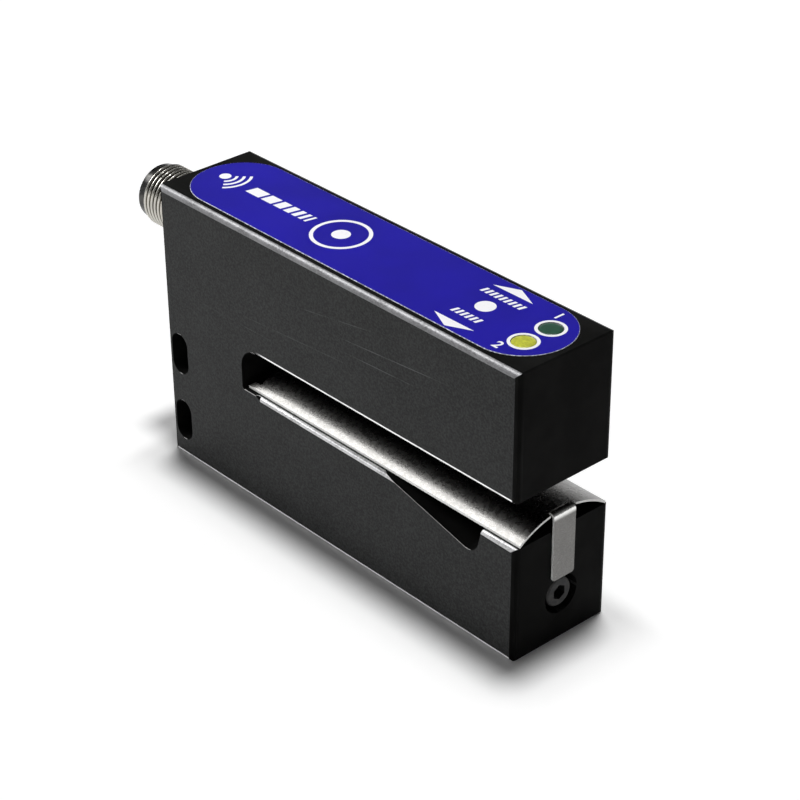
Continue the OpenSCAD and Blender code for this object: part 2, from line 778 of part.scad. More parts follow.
module contact_places() {
    for (i = [0 : contact_count - 1]) rotate([0, 0, 45 + i * 360 / contact_count])
        translate([contact_circle_d / 2, 0, 0]) children();
}

module connector_insert() {
    rib_w = 0.9;
    rib_h = 0.7;
    color([0.1, 0.1, 0.1]) on_connector() difference() {
        union() {
            translate([0, 0, insert_seat]) cylinder(d = socket_d - 2 * fit_gap, h = insert_head_l);
            translate([0, 0, -rear_wall]) cylinder(d = insert_tail_d, h = rear_wall + insert_seat + cut);
            translate([socket_d / 2 - fit_gap - rib_h, -rib_w / 2, socket_floor - cut])
                cube([rib_h - 0.1, rib_w, socket_depth - contact_recess + cut]);
        }
        contact_places() translate([0, 0, -rear_wall - cut])
            cylinder(d = contact_d + 2 * fit_gap, h = rear_wall + socket_floor + 2 * cut);
    }
}

module contact_pins() {
    back = -rear_wall - connector_board_gap;
    tip = shell_reach - contact_recess - contact_d / 2;
    color([0.85, 0.7, 0.35]) on_connector() contact_places() {
        translate([0, 0, back]) cylinder(d = contact_d, h = tip - back);
        translate([0, 0, tip]) sphere(d = contact_d);
    }
}

module shell_seal() {
    color([0.1, 0.1, 0.1]) on_connector(-seal_groove / 2) rotate_extrude()
        translate([seal_mean_d / 2, 0]) circle(d = seal_section_d);
}

module connector_board() {
    height = top_board_z - connector_board_drop - main_board_z;
    width = middle_w - 2 * board_gap;
    color([0.1, 0.35, 0.2]) translate([connector_board_x, -width / 2, main_board_z])
        cube([connector_board_t, width, height]);
}

module link_pins() {
    row_start = (0.5 - contact_count / 2) * header_pitch - header_pin_w / 2;
    color([0.85, 0.7, 0.35]) for (i = [0 : contact_count - 1])
        translate([connector_board_x + connector_board_t, row_start + i * header_pitch, 0])
            translate([0, 0, top_board_z - link_pin_l]) cube([header_pin_w, header_pin_w, link_pin_l]);
}

fork_body();
guide_plate();
channel_screw();
label_foil();
green_lens();
yellow_lens();
key_spacer();
key_dome();
top_board();
green_led();
yellow_led();
processor();
main_board();
amplifier();
drive_coil();
board_header();
receiver();
receiver_sleeve();
transmitter();
transmitter_sleeve();
transmitter_cable();
connector_shell();
connector_insert();
contact_pins();
shell_seal();
connector_board();
link_pins();
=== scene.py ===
"""Finish, thread, print, light and camera of a fork-shaped ultrasonic sensor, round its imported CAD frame."""

import math

import bmesh
import bpy
from bpy.props import FloatProperty, FloatVectorProperty, IntProperty, PointerProperty
from mathutils import Matrix, Vector


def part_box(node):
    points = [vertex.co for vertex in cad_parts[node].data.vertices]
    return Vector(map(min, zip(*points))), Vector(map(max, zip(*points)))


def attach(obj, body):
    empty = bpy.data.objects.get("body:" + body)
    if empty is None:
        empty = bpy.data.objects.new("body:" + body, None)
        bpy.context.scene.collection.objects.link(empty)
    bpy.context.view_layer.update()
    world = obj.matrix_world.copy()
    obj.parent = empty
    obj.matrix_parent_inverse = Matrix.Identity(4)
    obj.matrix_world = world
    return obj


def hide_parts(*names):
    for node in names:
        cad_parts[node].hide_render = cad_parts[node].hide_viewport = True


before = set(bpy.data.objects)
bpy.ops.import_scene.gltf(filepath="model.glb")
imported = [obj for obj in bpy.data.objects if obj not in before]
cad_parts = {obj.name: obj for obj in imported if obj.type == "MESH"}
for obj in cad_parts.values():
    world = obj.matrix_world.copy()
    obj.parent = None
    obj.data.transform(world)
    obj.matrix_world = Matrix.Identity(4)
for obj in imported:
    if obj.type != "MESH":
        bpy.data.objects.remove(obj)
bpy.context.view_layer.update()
MM = 0.001
BODY_LOW, BODY_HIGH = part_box("fork_body")

bl_info = {
    "name": "Fork sensor finish",
    "version": (1, 0, 0),
    "blender": (4, 5, 0),
    "location": "View3D > Sidebar > Sensor",
    "description": "Dresses the fork sensor with its finishes, thread and print, and lights it",
    "category": "Object",
}


def size_property(name, description, millimetres):
    """A length that the user can change, stored in metres."""
    return FloatProperty(
        name=name, description=description, default=millimetres * MM, unit="LENGTH", precision=5
    )


def colour_property(name, description, colour):
    """A finish's colour."""
    return FloatVectorProperty(
        name=name, description=description, default=colour, subtype="COLOR", min=0, max=1
    )


class FinishSettings(bpy.types.PropertyGroup):
    """The colours of the finishes, and where the body's bare lines run"""

    anodised: colour_property("Anodised", "The body's black anodising", (0.033, 0.0338, 0.0338))
    # Painted shade: a darker copy of the anodising, so that ends, top and recesses come out darker than the
    # sides
    painted_shade_black: colour_property("Shaded black", "The deeper black of ends, top and recesses", (0.006, 0.006, 0.0058))
    # Pale colour: rubbed-thin anodising on the scratches, and on the roundings also a painted highlight
    wear_and_highlight: colour_property("Worn edge and highlight", "Anodising rubbed thin on scratches and edges", (0.29, 0.29, 0.3))
    # Near-white painted highlight on the long chamfers, on the lines along the long edges and on the lower
    # arm's roundings
    painted_highlight: colour_property("Highlight white", "Metal laid bare along the long chamfers", (0.95, 0.95, 0.955))
    # Heights of the two painted highlight lines along the body's long edges
    lip_highlight_z: size_property("Lip height", "Height of the bare line along the upper arm's lower edge", 31.38)
    foot_highlight_z: size_property("Foot height", "Height of the bare line along the underside", 0.37)
    slot_x: size_property("Slot end", "Where the slot's closed end is along the body", -20.0)
    stainless: colour_property("Stainless", "The guide plate's sheet", (0.155, 0.152, 0.147))
    # Near-white painted highlight on the sheet's sheared edges and its fold
    edge_and_fold_highlight: colour_property("Edge highlight", "The sheet's sheared edges and its fold", (0.9, 0.9, 0.88))
    nickel: colour_property("Nickel", "The connector's plating", (0.62, 0.6, 0.55))
    foil: colour_property("Foil", "The label's blue ink", (0.0105, 0.0065, 0.265))
    foil_edge: colour_property("Foil edge", "The cut edge of the clear foil", (0.72, 0.74, 0.84))
    ink: colour_property("White ink", "The label's white print", (0.78, 0.78, 0.8))
    green: colour_property("Green window", "The green lamp's window", (0.007, 0.056, 0.03))
    yellow: colour_property("Yellow window", "The yellow lamp's window", (0.46, 0.48, 0.035))


class PrintSettings(bpy.types.PropertyGroup):
    """The sizes and places of the windows and white marks on the label"""

    ink_rise: size_property("Ink rise", "How far the print stands on the foil", 0.012)
    ring_x: size_property("Key ring X", "The teach key's centre along the body", -8.6)
    ring_y: size_property("Key ring Y", "The teach key's centre across the body", 0.15)
    ring_diameter: size_property("Key ring diameter", "Outside diameter of the teach key's ring", 11.0)
    ring_stroke: size_property("Key ring stroke", "Width of the ring's line", 0.7)
    key_dot: size_property("Key dot", "Diameter of the dot in the middle of the key", 3.4)
    point_x: size_property("Sensing mark X", "The sensing point along the body", 26.65)
    point_y: size_property("Sensing mark Y", "The sensing point's dot across the body", 0.5)
    point_diameter: size_property("Sensing mark diameter", "Diameter of the sensing point's dot", 3.6)
    arrow_base: size_property("Arrow base", "Length of an arrow's base", 9.1)
    arrow_height: size_property("Arrow height", "Height of an arrow", 2.1)
    arrow_y: size_property("Arrow Y", "Distance of an arrow's base from the middle", 6.55)
    window_diameter: size_property("Window diameter", "Diameter of a lamp's window", 4.2)
    lamp_ring: size_property("Lamp ring", "Outside diameter of the ring round a window", 5.35)
    source_x: size_property("Sound source X", "The sound source's dot along the body", -40.2)
    tick_height: size_property("Tick height", "Height of a scale's tick", 1.5)
    tick_width: size_property("Tick width", "Width of a tick's line", 0.6)
    tick_pitch: size_property("Tick pitch", "Distance between two ticks", 1.08)


class ThreadSettings(bpy.types.PropertyGroup):
    """The sizes of the connector's screw thread"""

    pitch: size_property("Pitch", "The thread's pitch", 1.0)
    crest: size_property("Crest diameter", "Diameter over the crests", 11.8)
    root: size_property("Root diameter", "Diameter at the bottom of the grooves", 10.7)
    first_crest: size_property("First crest", "Distance from the open end to the lead-in", 1.7)
    length: size_property("Thread length", "Length of the threaded part", 8.9)
    turn_steps: IntProperty(
        name="Steps a turn", description="Faces round one turn", default=72, min=24, max=144
    )


class StudioSettings(bpy.types.PropertyGroup):
    """The camera, the lights and the floor"""

    lens: FloatProperty(
        name="Lens", description="Focal length on a 36 mm wide frame", default=105.014, unit="CAMERA"
    )
    camera_place: FloatVectorProperty(
        name="Camera place",
        description="Where the camera stands",
        default=(0.263935, -0.229776, 0.235120),
        subtype="TRANSLATION",
        precision=5,
    )
    camera_turn: FloatVectorProperty(
        name="Camera turn",
        description="How the camera is turned",
        default=(math.radians(59.13061), math.radians(0.41194), math.radians(48.02176)),
        subtype="EULER",
        precision=5,
    )
    key_power: FloatProperty(
        name="Key light", description="Power of the softbox at the left", default=0.4, unit="POWER"
    )
    strip_power: FloatProperty(
        name="Strip light",
        description="Power of the narrow light over the slot's side",
        default=3.95,
        unit="POWER",
    )
    top_strength: FloatProperty(
        name="Top light", description="Strength of the even light from above", default=2.04, min=0
    )
    top_spread: FloatProperty(
        name="Top light's spread",
        description="How wide the light from above is",
        default=math.radians(8),
        subtype="ANGLE",
    )
    fill_strength: FloatProperty(
        name="Fill", description="Brightness of the surroundings", default=0.12, min=0
    )
    floor_lift: FloatProperty(
        name="Floor lift",
        description="Light that the floor adds where it is seen, away from the object",
        default=0.3,
        min=0,
    )


# Materials


class Value:
    """A node socket that takes part in sums: 1 - value * 2 adds the Math nodes for it."""

    def __init__(self, paint, socket):
        self.paint = paint
        self.socket = socket

    def maths(self, operation, *terms):
        """Adds a Math node that works on the terms."""
        return self.paint.node("ShaderNodeMath", {"operation": operation}, dict(enumerate(terms)))

    def __add__(self, other):
        return self.maths("ADD", self, other)

    def __radd__(self, other):
        return self.maths("ADD", other, self)

    def __sub__(self, other):
        return self.maths("SUBTRACT", self, other)

    def __rsub__(self, other):
        return self.maths("SUBTRACT", other, self)

    def __mul__(self, other):
        return self.maths("MULTIPLY", self, other)

    def __rmul__(self, other):
        return self.maths("MULTIPLY", other, self)

    def __pow__(self, other):
        return self.maths("POWER", self, other)

    def __abs__(self):
        return self.maths("ABSOLUTE", self)

    def at_least(self, other):
        """The larger of the two."""
        return self.maths("MAXIMUM", self, other)

    def wrapped(self, period):
        """The remainder after whole periods, for patterns that repeat."""
        return self.maths("FLOORED_MODULO", self, period)

    def ramp(self, low, high):
        """0 below low and 1 above high, turning smoothly between them."""
        inputs = {"Value": self, "From Min": low, "From Max": high}
        return self.paint.node("ShaderNodeMapRange", {"interpolation_type": "SMOOTHSTEP"}, inputs)

    def band(self, centre, half_width, soft):
        """1 within half_width of centre, fading over soft."""
        return 1 - abs(self - centre).ramp(half_width, half_width + soft)


class Paint:
    """One procedural material, and the one way in which its nodes are made."""

    def __init__(self, name):
        self.material = bpy.data.materials.new(name)
        self.material.use_nodes = True
        self.tree = self.material.node_tree
        self.tree.nodes.clear()
        self.object_place = self.node("ShaderNodeTexCoord", output="Object")

    def node(self, kind, settings=None, inputs=None, output=0):
        """Adds a node: its settings first, then the values or links of its sockets. Gives back one output."""
        node = self.tree.nodes.new(kind)
        for name, value in (settings or {}).items():
            setattr(node, name, value)
        for key, value in (inputs or {}).items():
            socket = node.inputs[key]
            if isinstance(value, Value):
                self.tree.links.new(value.socket, socket)
            elif socket.type == "RGBA" and len(value) == 3:
                socket.default_value = (*value, 1)
            else:
                socket.default_value = value
        return Value(self, node.outputs[output])

    def millimetres(self, axes="XYZ"):
        """The place on the object in millimetres, as one value for each of the axes."""
        inputs = {0: self.object_place, "Scale": 1 / MM}
        scaled = self.node("ShaderNodeVectorMath", {"operation": "SCALE"}, inputs)
        return [self.node("ShaderNodeSeparateXYZ", inputs={0: scaled}, output=axis) for axis in axes]

    def noise(self, grain_mm, detail=2.0, stretch=(1, 1, 1), roughness=0.5):
        """Noise whose grains are about grain_mm across, longer along an axis whose stretch is larger."""
        scale = tuple(1 / (grain_mm * MM * s) for s in stretch)
        place = self.node("ShaderNodeMapping", inputs={"Vector": self.object_place, "Scale": scale})
        inputs = {"Vector": place, "Scale": 1.0, "Detail": detail, "Roughness": roughness}
        return self.node("ShaderNodeTexNoise", inputs=inputs)

    def mix(self, factor, first, second):
        """A colour between first and second."""
        return self.node("ShaderNodeMix", {"data_type": "RGBA"}, {0: factor, 6: first, 7: second}, output=2)

    def bump(self, height, distance_mm, strength):
        """A normal that follows height, 0 to 1, as a relief distance_mm deep."""
        inputs = {"Height": height, "Distance": distance_mm * MM, "Strength": strength}
        return self.node("ShaderNodeBump", inputs=inputs)

    def finish(self, **sockets):
        """Ends the material in one Principled shader and gives the material back."""
        names = {key: key.replace("_", " ").title().replace("Ior", "IOR") for key in sockets}
        inputs = {names[key]: value for key, value in sockets.items()}
        self.end_in(self.node("ShaderNodeBsdfPrincipled", inputs=inputs))
        return self.material

    def end_in(self, shader):
        """Links a shader to the material's output."""
        output = self.tree.nodes.new("ShaderNodeOutputMaterial")
        self.tree.links.new(shader.socket, output.inputs["Surface"])


# Hairlines on the near side, in millimetres: from x, to x, height at x = 0, slope, strength
SCRATCHES = (
    (-13, 14, 46.6, 0.16, 0.5),
    (0, 31, 43.7, 0.084, 0.9),
    (0, 30, 41.4, 0.051, 0.7),
    (-24, 8, 39.2, 0.07, 0.35),
    (-36, -12, 36.0, 0.02, 0.3),
)
# A height in the slot, in millimetres, which parts the lower arm from the upper one
IN_SLOT_Z = 30


def shade(colour, times):
    """A lighter or darker tone of a colour."""
    return tuple(min(1.0, part * times) for part in colour)


def anodised_paint(finish):
    """Black anodising on the milled sides, speckled and faintly clouded, with a near-white line painted along
    each arm's lower edge as a highlight, and hairline scratches on the near side."""
    paint = Paint("black_anodised")
    x, y, z = paint.millimetres()
    speckle = paint.noise(0.42, detail=4, roughness=0.72)
    cloud = paint.noise(11, detail=3)
    broken = paint.noise(1.6, stretch=(4, 1, 1)).ramp(0.28, 0.6)
    nicks = paint.noise(0.7, stretch=(3, 1, 1)).ramp(0.25, 0.5)
    scratches = 0
    for start, end, height, slope, strength in SCRATCHES:
        line = (z - slope * x).band(height, 0.03, 0.1)
        reach = x.ramp(start, start + 6) * (1 - x.ramp(end - 8, end))
        scratches = scratches + line * reach * broken * strength
    near_y, slot_x = BODY_LOW.y / MM, finish.slot_x / MM
    skin = 0.05
    near_side = 1 - y.ramp(near_y + skin, near_y + 2 * skin)
    tone = 0.85 * speckle.ramp(0.34, 0.68) + 0.15 * cloud.ramp(0.3, 0.7)
    colour = paint.mix(tone, shade(finish.anodised, 0.62), shade(finish.anodised, 1.4))
    colour = paint.mix(scratches * near_side * 0.28, colour, tuple(finish.wear_and_highlight))
    # Painted highlight lines, near-white, along the upper arm's lower edge and along the underside
    lip_highlight = z.band(finish.lip_highlight_z / MM, 0.13, 0.05) * x.ramp(slot_x, slot_x + 3) * (0.8 + 0.2 * nicks)
    foot_highlight = z.band(finish.foot_highlight_z / MM, 0.12, 0.05) * (0.75 + 0.25 * nicks)
    return paint.finish(
        base_color=paint.mix(lip_highlight + foot_highlight, colour, tuple(finish.painted_highlight)),
        metallic=lip_highlight,
        roughness=0.36 + 0.2 * speckle - 0.2 * lip_highlight,
        specular_ior_level=0.06,
        normal=paint.bump(speckle, 0.045, 0.7),
    )


def shaded_anodised_paint(finish):
    """The deeper black of the end faces, the top and everything cut into the body: a darker copy of the
    anodising, painted shade, with less sheen.
    """
    paint = Paint("anodised_painted_shade")
    grain = paint.noise(0.18, detail=3)
    cloud = paint.noise(6, detail=3)
    return paint.finish(
        base_color=paint.mix(cloud.ramp(0.35, 0.7), shade(finish.painted_shade_black, 0.8), shade(finish.painted_shade_black, 1.3)),
        roughness=0.42 + 0.14 * grain,
        specular_ior_level=0.015,
        normal=paint.bump(grain, 0.01, 0.5),
    )


def edge_paint(finish):
    """Rounded and broken edges, pale and mottled: partly anodising rubbed thin, partly a painted highlight
    along the roundings; nearly white on the lower arm, as painted light, and darker, as painted shade, where
    they meet the top face and the guide plate."""
    paint = Paint("worn_and_highlit_edge")
    y, z = paint.millimetres("YZ")
    mottle = paint.noise(0.3, detail=3, roughness=0.65, stretch=(1.6, 1, 1))
    cloud = paint.noise(5, detail=2)
    # In millimetres, out from the middle and up from the underside
    out = abs(y)
    top_face = z.ramp(50, 51)
    lower_arm = 1 - z.ramp(IN_SLOT_Z - 5, IN_SLOT_Z)
    # Painted shade: darker where the roundings meet the top face, and on the lower arm along the guide plate's
    # edge
    painted_shade = top_face * (1 - out.ramp(9.7, 10.35)) + lower_arm * (1 - out.ramp(10.1, 10.25))
    wear = (0.6 * mottle + 0.4 * cloud).ramp(0.34, 0.6) * (1 - 0.5 * out.ramp(10.5, 10.75))
    # Painted light: the lower arm's edges turn nearly white, where the upper arm keeps the light from above
    # off them
    metal = paint.mix(lower_arm, tuple(finish.wear_and_highlight), tuple(finish.painted_highlight))
    metal = paint.mix(wear, paint.mix(0.4, (0, 0, 0), metal), metal)
    return paint.finish(
        base_color=paint.mix(painted_shade, metal, shade(finish.painted_shade_black, 2)),
        metallic=0.35,
        roughness=0.34 + 0.12 * mottle,
        normal=paint.bump(mottle, 0.03, 0.7),
    )


def chamfer_highlight_paint(finish):
    """Narrow chamfers along the slot, slightly chalky, painted near-white as a highlight on a partly metallic
    finish.
    """
    paint = Paint("chamfer_highlight")
    mottle = paint.noise(0.6, detail=3, stretch=(3, 1, 1))
    return paint.finish(
        base_color=paint.mix(mottle.ramp(0.3, 0.6), shade(finish.painted_highlight, 0.7), tuple(finish.painted_highlight)),
        metallic=0.7,
        roughness=0.38 + 0.2 * mottle,
    )


def stainless_paint(finish):
    """Satin stainless sheet, tumbled, so that its reflections break into specks, with a painted highlight on
    the fold.
    """
    paint = Paint("stainless_sheet")
    x, z = paint.millimetres("XZ")
    speck = paint.noise(0.26, detail=1)
    fleck = paint.noise(0.8, detail=1)
    cloud = paint.noise(5, detail=3)
    tone = (0.5 * speck + 0.5 * cloud).ramp(0.35, 0.65)
    sheet = paint.mix(tone, shade(finish.stainless, 0.92), shade(finish.stainless, 1.08))
    # A painted highlight where the tab bends over the front face, in millimetres
    fold_highlight = x.ramp(45.9, 46.3) * z.ramp(24.2, 25.2)
    return paint.finish(
        base_color=paint.mix(fold_highlight, sheet, tuple(finish.edge_and_fold_highlight)),
        metallic=1.0,
        roughness=0.25 + 0.06 * fleck.ramp(0.3, 0.7),
        normal=paint.bump(0.8 * speck + 0.4 * fleck, 0.015, 0.8),
    )


def sheared_edge_highlight_paint(finish):
    """The sheet's sheared edge, slightly torn, painted near-white as a highlight, brighter than its face."""
    paint = Paint("sheared_edge_highlight")
    tears = paint.noise(0.25, detail=3, stretch=(3, 1, 1))
    return paint.finish(
        base_color=paint.mix(tears.ramp(0.3, 0.6), shade(finish.edge_and_fold_highlight, 0.85), tuple(finish.edge_and_fold_highlight)),
        roughness=0.34 + 0.2 * tears,
    )


def nickel_paint(finish, axis_z, thread_start, thread_end):
    """Bright nickel on turned brass: turning marks round the axis, and painted shade, dark and warm, in the
    thread's grooves.
    """
    paint = Paint("nickel_plate")
    x, y, z = paint.millimetres()
    turning = paint.noise(0.09, stretch=(1, 60, 60))
    cloud = paint.noise(1.8, detail=3)
    radius = (y * y + (z - axis_z) ** 2) ** 0.5
    # In millimetres: painted shade in the grooves, full below the first radius and gone above the second
    shade_full_below, shade_clear_above, soft = 5.58, 5.78, 0.1
    groove_shade = 1 - radius.ramp(shade_full_below, shade_clear_above)
    threaded = x.ramp(thread_start - soft, thread_start) * (1 - x.ramp(thread_end - soft, thread_end))
    bright = paint.mix(cloud.ramp(0.3, 0.7), shade(finish.nickel, 0.85), tuple(finish.nickel))
    groove_shade_colour = paint.mix(cloud.ramp(0.3, 0.7), (0.03, 0.026, 0.019), (0.09, 0.076, 0.055))
    return paint.finish(
        base_color=paint.mix(groove_shade * threaded, bright, groove_shade_colour),
        metallic=1.0,
        roughness=0.14 + 0.12 * turning + 0.08 * cloud,
        normal=paint.bump(turning, 0.006, 0.5),
    )


def rim_paint():
    """The darkened plain rim at the connector's open end."""
    paint = Paint("dark_rim")
    turning = paint.noise(0.08, stretch=(1, 60, 60))
    cloud = paint.noise(1.2, detail=3)
    return paint.finish(
        base_color=paint.mix(cloud.ramp(0.35, 0.7), (0.03, 0.03, 0.03), (0.085, 0.082, 0.078)),
        metallic=1.0,
        roughness=0.2 + 0.12 * turning,
        normal=paint.bump(turning, 0.006, 0.5),
    )


def foil_paint(finish):
    """Blue ink behind a clear foil with a very fine texture."""
    paint = Paint("blue_foil")
    texture = paint.noise(0.16, detail=2)
    cloud = paint.noise(14, detail=2)
    return paint.finish(
        base_color=paint.mix(cloud.ramp(0.3, 0.7), shade(finish.foil, 0.9), shade(finish.foil, 1.1)),
        roughness=0.34 + 0.1 * texture,
        specular_ior_level=0.1,
        normal=paint.bump(texture, 0.006, 0.5),
    )


def foil_edge_paint(finish):
    """The pale cut edge of the clear foil, with nicks."""
    paint = Paint("foil_edge")
    nicks = paint.noise(0.5, detail=3)
    tone = paint.mix(nicks.ramp(0.4, 0.62), shade(finish.foil_edge, 0.4), tuple(finish.foil_edge))
    return paint.finish(base_color=tone, roughness=0.35 + 0.2 * nicks)


def ink_paint(finish):
    """White screen print with slightly uneven cover."""
    paint = Paint("white_ink")
    cover = paint.noise(0.2, detail=3)
    tone = paint.mix(cover.ramp(0.2, 0.5), shade(finish.ink, 0.9), tuple(finish.ink))
    return paint.finish(base_color=tone, roughness=0.4 + 0.1 * cover)


def window_paint(name, colour):
    """Tinted window with a stippled back, under a thin gloss coat."""
    paint = Paint(name)
    stipple = paint.noise(0.3, detail=2)
    cloud = paint.noise(1.6, detail=2)
    tone = (0.5 * stipple + 0.5 * cloud).ramp(0.32, 0.66)
    return paint.finish(
        base_color=paint.mix(tone, shade(colour, 0.72), shade(colour, 1.15)),
        roughness=0.3 + 0.15 * stipple,
        coat_weight=0.25,
        coat_roughness=0.08,
        normal=paint.bump(stipple, 0.01, 0.4),
    )


def dark_steel_paint():
    """Blackened steel of the screw, slightly clouded."""
    paint = Paint("dark_screw")
    grain = paint.noise(0.15, detail=3)
    cloud = paint.noise(1.1, detail=3)
    return paint.finish(
        base_color=paint.mix(cloud.ramp(0.35, 0.7), (0.012, 0.012, 0.0125), (0.027, 0.026, 0.025)),
        metallic=0.7,
        roughness=0.34 + 0.16 * grain,
        normal=paint.bump(grain, 0.008, 0.6),
    )


def board_paint():
    """Green solder resist with its copper tracks showing through in straight runs."""
    paint = Paint("circuit_board")
    x, y = paint.millimetres("XY")
    bend = paint.noise(7, detail=0)
    runs = paint.noise(5, stretch=(3, 1, 1), detail=1).ramp(0.45, 0.5)
    tracks = (y + bend.ramp(0.45, 0.55) * 1.2).wrapped(1.1).band(0.55, 0.16, 0.05) * runs
    pads = x.wrapped(5.0).band(2.5, 0.45, 0.06) * y.wrapped(3.3).band(1.65, 0.45, 0.06)
    colour = paint.mix(tracks, (0.008, 0.09, 0.035), (0.02, 0.19, 0.075))
    return paint.finish(
        base_color=paint.mix(pads, colour, (0.62, 0.6, 0.55)),
        roughness=0.32 + 0.2 * pads,
        normal=paint.bump(tracks, 0.03, 0.7),
    )


def moulded_paint(name, colour, roughness=0.5):
    """Moulded plastic, rubber or ceramic with a matt skin and slight mottling."""
    paint = Paint(name)
    grain = paint.noise(0.12, detail=3)
    cloud = paint.noise(2.2, detail=2)
    return paint.finish(
        base_color=paint.mix(cloud.ramp(0.3, 0.7), shade(colour, 0.85), shade(colour, 1.12)),
        roughness=roughness + 0.12 * grain,
        normal=paint.bump(grain, 0.008, 0.5),
    )


def metal_paint(name, colour, roughness=0.3):
    """Plain metal with drawing marks along the X axis."""
    paint = Paint(name)
    drawn = paint.noise(0.08, stretch=(12, 1, 1), detail=2)
    cloud = paint.noise(1.5, detail=2)
    return paint.finish(
        base_color=paint.mix(cloud.ramp(0.3, 0.7), shade(colour, 0.85), tuple(colour)),
        metallic=1.0,
        roughness=roughness + 0.15 * drawn,
        normal=paint.bump(drawn, 0.005, 0.5),
    )


def paper_paint(lift):
    """Pale studio floor that keeps the lamps' shadow. Away from the object, and more up its low wall, it adds
    light where it is seen directly or in gloss, so that the background is white; towards the object's
    footprint that added light fades out, which paints a soft shadow round it."""
    paint = Paint("studio_floor")
    x, y, z = paint.millimetres()
    # In millimetres; a distance counts for more behind the object, so that the painted shadow is narrower
    # there
    more, painted_shadow_width, wall_glow = 1.5, 15, 0.45
    beyond_x = (abs(x) - BODY_HIGH.x / MM).at_least(0) * (1 + more - more * x.ramp(-10, 10))
    beyond_y = (abs(y) - BODY_HIGH.y / MM).at_least(0) * (1 + more * y.ramp(-10, 10))
    away = (beyond_x * beyond_x + beyond_y * beyond_y) ** 0.5
    fibre = paint.noise(3, detail=2)
    tone = paint.mix(fibre, (0.93, 0.93, 0.93), (0.95, 0.95, 0.95))
    inputs = {"Base Color": tone, "Roughness": 0.9, "Specular IOR Level": 0.1}
    paper = paint.node("ShaderNodeBsdfPrincipled", inputs=inputs)
    rays = ("Is Camera Ray", "Is Glossy Ray", "Is Transmission Ray")
    camera, glossy, through = (paint.node("ShaderNodeLightPath", output=ray) for ray in rays)
    seen = camera.at_least(glossy.at_least(through))
    strength = seen * (away.ramp(0, painted_shadow_width) * lift + z.ramp(10, 350) * wall_glow)
    glow = paint.node("ShaderNodeEmission", inputs={"Color": (1, 1, 1), "Strength": strength})
    paint.end_in(paint.node("ShaderNodeAddShader", inputs={0: paper, 1: glow}))
    return paint.material


# Shapes


def new_piece(name, mesh, materials, smooth_angle=35):
    """Makes a piece that rides on the sensor, smooth up to smooth_angle degrees, its flat faces kept flat."""
    piece = bpy.data.objects.new(name, mesh)
    bpy.context.scene.collection.objects.link(piece)
    for material in materials:
        mesh.materials.append(material)
    mesh.shade_smooth()
    mesh.set_sharp_from_angle(angle=math.radians(smooth_angle))
    weights = piece.modifiers.new("flat_faces", "WEIGHTED_NORMAL")
    weights.keep_sharp = True
    weights.weight = 80
    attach(piece, "root")
    return piece


def to_mesh(shape, name):
    """Writes a bmesh to a new mesh and frees it."""
    mesh = bpy.data.meshes.new(name)
    shape.to_mesh(mesh)
    shape.free()
    return mesh


def cad_shape(node, flatten=False):
    """A merged copy of a CAD node's mesh. To flatten it joins the triangles of each flat face."""
    shape = bmesh.new()
    shape.from_mesh(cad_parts[node].data)
    bmesh.ops.remove_doubles(shape, verts=shape.verts, dist=1e-7)
    bmesh.ops.dissolve_degenerate(shape, edges=shape.edges, dist=1e-8)
    if flatten:
        bmesh.ops.dissolve_limit(
            shape,
            angle_limit=math.radians(0.5),
            verts=shape.verts,
            edges=shape.edges,
            use_dissolve_boundaries=False,
        )
    return shape


def bevel(shape, edges, width_mm, segments=2, clamp=True):
    """Bevels the given edges."""
    bmesh.ops.bevel(
        shape,
        geom=edges,
        offset=width_mm * MM,
        offset_type="OFFSET",
        segments=segments,
        profile=0.5,
        affect="EDGES",
        clamp_overlap=clamp,
        material=-1,
    )


def soften_edges(shape, width_mm, angle=45, segments=2, choose=None):
    """Bevels every edge that is sharper than angle degrees, or those of them that choose picks."""
    sharp = math.radians(angle)
    edges = [edge for edge in shape.edges if len(edge.link_faces) == 2 and edge.calc_face_angle(0) > sharp]
    if choose:
        edges = [edge for edge in edges if choose(edge)]
    bevel(shape, edges, width_mm, segments)


def draw_line(shape, points, closed=False):
    """Adds points joined by edges, as a ring where closed is set, and gives back both."""
    corners = [shape.verts.new(point) for point in points]
    edges = [shape.edges.new(pair) for pair in zip(corners, corners[1:])]
    if closed:
        edges.append(shape.edges.new((corners[-1], corners[0])))
    return corners + edges


def wind(shape, line, axis, steps, turns=1, pitch=0.0, merge=1e-8):
    """Winds a line about an axis through the origin, climbing by pitch each turn, and merges the points that
    meet, such as a full circle's seam and poles."""
    bmesh.ops.spin(
        shape,
        geom=line,
        cent=(0, 0, 0),
        axis=axis,
        dvec=[pitch / steps * part for part in axis],
        angle=math.tau * turns,
        steps=steps * turns,
        use_merge=pitch == 0,
        use_duplicate=False,
    )
    bmesh.ops.remove_doubles(shape, verts=shape.verts, dist=merge)


def cut_away(shape, place, normal):
    """Cuts a shape by a plane and clears what lies behind it."""
    geometry = shape.verts[:] + shape.edges[:] + shape.faces[:]
    bmesh.ops.bisect_plane(shape, geom=geometry, plane_co=place, plane_no=normal, clear_inner=True)


def turned_shape(profile):
    """Turns a closed profile of (along, radius) in millimetres full circle about the X axis."""
    shape = bmesh.new()
    line = draw_line(shape, [(along * MM, 0, radius * MM) for along, radius in profile], closed=True)
    wind(shape, line, (1, 0, 0), 96)
    bmesh.ops.recalc_face_normals(shape, faces=shape.faces)
    return shape


